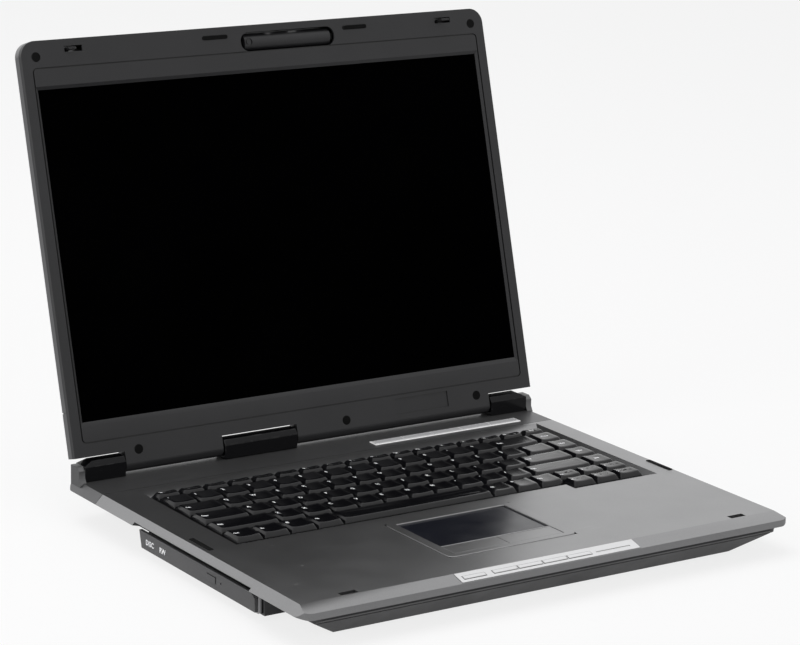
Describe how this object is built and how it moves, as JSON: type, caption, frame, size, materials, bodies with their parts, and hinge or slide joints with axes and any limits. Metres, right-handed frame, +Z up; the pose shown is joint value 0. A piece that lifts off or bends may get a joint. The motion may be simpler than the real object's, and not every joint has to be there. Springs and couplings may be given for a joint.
{
  "type": "laptop computer",
  "caption": "Open widescreen notebook computer with hinged lid, full keyboard, touchpad, side disc tray and worn grey plastic casing.",
  "frame": {"origin": "middle of the open laptop's footprint box, on the surface that its feet stand on", "axes": "+X to the user's right, +Y from the user towards the back, +Z up"},
  "size_m": [0.357, 0.3566, 0.2955],
  "materials": {
    "case_grey": "metallic grey paint on plastic, satin",
    "lower_case": "fine textured dark grey plastic",
    "strip_grey": "dark grey satin plastic",
    "hinge_gloss": "black gloss plastic",
    "steel": "zinc plated steel",
    "bright_bar": "bright plated plastic",
    "touch_surface": "smooth dark film",
    "white_panel": "white satin plastic",
    "key_black": "black keycap plastic, slightly worn",
    "board_black": "black moulded plastic",
    "drive_face": "dark grey plastic",
    "aluminium": "cast aluminium",
    "copper": "bare copper",
    "circuit": "green circuit board",
    "rubber": "black rubber",
    "lid_silver": "metallic grey paint, satin",
    "bezel_grey": "charcoal matt plastic",
    "screen": "dark display surface"
  },
  "bodies": {
    "base": {"base_bottom": "lower_case", "palm_rest": "case_grey", "rear_strip": "strip_grey", "hinge_cover_left": "hinge_gloss", "hinge_cover_middle": "hinge_gloss", "hinge_cover_right": "hinge_gloss", "hinge_bracket_left": "steel", "hinge_bracket_right": "steel", "hotkey_trim": "bright_bar", "touchpad_frame": "case_grey", "touchpad_pad": "touch_surface", "front_panel": "white_panel", "keyboard_plate": "board_black", "drive_housing": "steel", "battery_pack": "lower_case", "hard_disk": "aluminium", "motherboard": "circuit", "heatsink": "copper", "fan_housing": "board_black", "memory_module": "circuit", "speakers": "board_black", "feet": "rubber", "base_screws": "steel", "rest_pads": "rubber", "dc_jack": "board_black", "usb_ports": "steel"},
    "lid": {"lid_back": "lid_silver", "bezel": "bezel_grey", "lcd_panel": "screen", "inverter_board": "circuit", "hinge_arm_left": "steel", "hinge_arm_right": "steel", "bezel_plugs": "rubber", "bumper_bars": "rubber"},
    "camera": {"camera_barrel": "bezel_grey"},
    "latch": {"latch_slider": "bezel_grey", "latch_bar": "board_black"},
    "tray": {"drive_tray": "drive_face"},
    "eject_button": {"drive_eject_button": "drive_face"},
    "fan": {"fan_rotor": "board_black"},
    "touchpad_left": {"touchpad_button_left": "case_grey"},
    "touchpad_right": {"touchpad_button_right": "case_grey"},
    "power": {"power_key": "bright_bar"},
    "space": {"space_bar": "key_black"},
    "enter": {"enter_key": "key_black"},
    "hotkey_1": {"hotkey_1": "bright_bar"},
    "hotkey_2": {"hotkey_2": "bright_bar"},
    "hotkey_3": {"hotkey_3": "bright_bar"},
    "hotkey_4": {"hotkey_4": "bright_bar"},
    "media_1": {"media_button_1": "white_panel"},
    "media_2": {"media_button_2": "white_panel"},
    "media_3": {"media_button_3": "white_panel"},
    "media_4": {"media_button_4": "white_panel"},
    "media_5": {"media_button_5": "white_panel"},
    "keys_1": {"key_row_1": "key_black"},
    "keys_2": {"key_row_2": "key_black"},
    "keys_3": {"key_row_3": "key_black"},
    "keys_4": {"key_row_4": "key_black"},
    "keys_5": {"key_row_5": "key_black"},
    "keys_6": {"key_row_6": "key_black"}
  },
  "joints": [
    {"name": "lid_hinge", "type": "hinge", "parent": "base", "child": "lid", "pos_m": [0, 0.09974, 0.0325], "axis": [1, 0, 0], "range_deg": [-30, 106]},
    {"name": "camera_swivel", "type": "hinge", "parent": "lid", "child": "camera", "pos_m": [0.0192, 0.17177, 0.28336], "axis": [1, 0, 0], "range_deg": [-15, 15]},
    {"name": "latch_slide", "type": "slide", "parent": "lid", "child": "latch", "axis": [1, 0, 0], "range_m": [0, 0.003], "stiffness_N_per_m": 400},
    {"name": "tray_slide", "type": "slide", "parent": "base", "child": "tray", "axis": [-1, 0, 0], "range_m": [0, 0.115]},
    {"name": "eject_press", "type": "slide", "parent": "tray", "child": "eject_button", "axis": [1, 0, 0], "range_m": [0, 0.0006], "stiffness_N_per_m": 500},
    {"name": "fan_spin", "type": "hinge", "parent": "base", "child": "fan", "pos_m": [-0.1325, 0.05674, 0.012], "axis": [0, 0, 1], "continuous": true},
    {"name": "touchpad_left_press", "type": "slide", "parent": "base", "child": "touchpad_left", "axis": [0, 0, -1], "range_m": [0, 0.0005], "stiffness_N_per_m": 800},
    {"name": "touchpad_right_press", "type": "slide", "parent": "base", "child": "touchpad_right", "axis": [0, 0, -1], "range_m": [0, 0.0005], "stiffness_N_per_m": 800},
    {"name": "power_press", "type": "slide", "parent": "base", "child": "power", "axis": [0, 0, -1], "range_m": [0, 0.0005], "stiffness_N_per_m": 800},
    {"name": "hotkey_1_press", "type": "slide", "parent": "base", "child": "hotkey_1", "axis": [0, 0, -1], "range_m": [0, 0.0005], "stiffness_N_per_m": 800},
    {"name": "hotkey_2_press", "type": "slide", "parent": "base", "child": "hotkey_2", "axis": [0, 0, -1], "range_m": [0, 0.0005], "stiffness_N_per_m": 800},
    {"name": "hotkey_3_press", "type": "slide", "parent": "base", "child": "hotkey_3", "axis": [0, 0, -1], "range_m": [0, 0.0005], "stiffness_N_per_m": 800},
    {"name": "hotkey_4_press", "type": "slide", "parent": "base", "child": "hotkey_4", "axis": [0, 0, -1], "range_m": [0, 0.0005], "stiffness_N_per_m": 800},
    {"name": "media_1_press", "type": "slide", "parent": "base", "child": "media_1", "axis": [0, 0.2532, -0.9674], "range_m": [0, 0.0004], "stiffness_N_per_m": 800},
    {"name": "media_2_press", "type": "slide", "parent": "base", "child": "media_2", "axis": [0, 0.2532, -0.9674], "range_m": [0, 0.0004], "stiffness_N_per_m": 800},
    {"name": "media_3_press", "type": "slide", "parent": "base", "child": "media_3", "axis": [0, 0.2532, -0.9674], "range_m": [0, 0.0004], "stiffness_N_per_m": 800},
    {"name": "media_4_press", "type": "slide", "parent": "base", "child": "media_4", "axis": [0, 0.2532, -0.9674], "range_m": [0, 0.0004], "stiffness_N_per_m": 800},
    {"name": "media_5_press", "type": "slide", "parent": "base", "child": "media_5", "axis": [0, 0.2532, -0.9674], "range_m": [0, 0.0004], "stiffness_N_per_m": 800},
    {"name": "keys_1_press", "type": "slide", "parent": "base", "child": "keys_1", "axis": [0, 0, -1], "range_m": [0, 0.0019], "stiffness_N_per_m": 4000},
    {"name": "keys_2_press", "type": "slide", "parent": "base", "child": "keys_2", "axis": [0, 0, -1], "range_m": [0, 0.0019], "stiffness_N_per_m": 4000},
    {"name": "keys_3_press", "type": "slide", "parent": "base", "child": "keys_3", "axis": [0, 0, -1], "range_m": [0, 0.0019], "stiffness_N_per_m": 4000},
    {"name": "keys_4_press", "type": "slide", "parent": "base", "child": "keys_4", "axis": [0, 0, -1], "range_m": [0, 0.0019], "stiffness_N_per_m": 4000},
    {"name": "keys_5_press", "type": "slide", "parent": "base", "child": "keys_5", "axis": [0, 0, -1], "range_m": [0, 0.0019], "stiffness_N_per_m": 4000},
    {"name": "keys_6_press", "type": "slide", "parent": "base", "child": "keys_6", "axis": [0, 0, -1], "range_m": [0, 0.0019], "stiffness_N_per_m": 4000},
    {"name": "space_press", "type": "slide", "parent": "base", "child": "space", "axis": [0, 0, -1], "range_m": [0, 0.0019], "stiffness_N_per_m": 600},
    {"name": "enter_press", "type": "slide", "parent": "base", "child": "enter", "axis": [0, 0, -1], "range_m": [0, 0.0019], "stiffness_N_per_m": 500}
  ]
}
